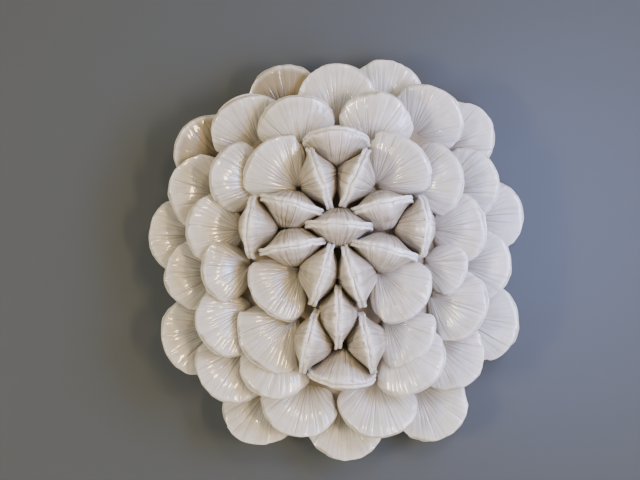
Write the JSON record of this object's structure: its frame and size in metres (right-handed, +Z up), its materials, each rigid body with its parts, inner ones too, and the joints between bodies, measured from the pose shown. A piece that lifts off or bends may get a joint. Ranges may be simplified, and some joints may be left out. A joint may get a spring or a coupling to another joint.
{
  "type": "ceramic wall cross",
  "caption": "Hand-built ceramic wall cross of pinched pods ringed by overlapping glazed fan-shaped petals on a low dome that hangs flat on a wall.",
  "frame": {"origin": "middle of the flat back, on the wall", "axes": "+Z up along the cross's shaft, -Y out from the wall toward the viewer, +X to the viewer's right"},
  "size_m": [0.3235, 0.0853, 0.3468],
  "materials": {
    "fan_glaze": "clear gloss glaze on off-white clay",
    "pod_clay": "satin, thinly glazed off-white clay",
    "dome_clay": "plain fired clay"
  },
  "bodies": {
    "root": {"dome": "dome_clay", "pod_centre": "pod_clay", "pod_arm_left_upper": "pod_clay", "pod_arm_left_lower": "pod_clay", "pod_arm_left_end": "pod_clay", "pod_arm_right_upper": "pod_clay", "pod_arm_right_lower": "pod_clay", "pod_arm_right_end": "pod_clay", "pod_head_left": "pod_clay", "pod_head_right": "pod_clay", "pod_head_top": "pod_clay", "pod_shaft_upper_left": "pod_clay", "pod_shaft_upper_right": "pod_clay", "pod_shaft_middle": "pod_clay", "pod_shaft_lower_left": "pod_clay", "pod_shaft_lower_right": "pod_clay", "pod_foot": "pod_clay", "fan_outer_01": "fan_glaze", "fan_outer_02": "fan_glaze", "fan_outer_03": "fan_glaze", "fan_outer_04": "fan_glaze", "fan_outer_05": "fan_glaze", "fan_outer_06": "fan_glaze", "fan_outer_07": "fan_glaze", "fan_outer_08": "fan_glaze", "fan_outer_09": "fan_glaze", "fan_outer_10": "fan_glaze", "fan_outer_11": "fan_glaze", "fan_second_01": "fan_glaze", "fan_second_02": "fan_glaze", "fan_second_03": "fan_glaze", "fan_second_04": "fan_glaze", "fan_second_05": "fan_glaze", "fan_second_06": "fan_glaze", "fan_second_07": "fan_glaze", "fan_second_08": "fan_glaze", "fan_second_09": "fan_glaze", "fan_second_10": "fan_glaze", "fan_second_11": "fan_glaze", "fan_third_01": "fan_glaze", "fan_third_02": "fan_glaze", "fan_third_03": "fan_glaze", "fan_third_04": "fan_glaze", "fan_third_05": "fan_glaze", "fan_third_06": "fan_glaze", "fan_third_07": "fan_glaze", "fan_third_08": "fan_glaze", "fan_third_09": "fan_glaze", "fan_third_10": "fan_glaze", "fan_inner_01": "fan_glaze", "fan_inner_02": "fan_glaze", "fan_inner_03": "fan_glaze", "fan_inner_04": "fan_glaze", "fan_inner_05": "fan_glaze", "fan_inner_06": "fan_glaze", "fan_inner_07": "fan_glaze", "fan_inner_08": "fan_glaze"}
  },
  "joints": []
}
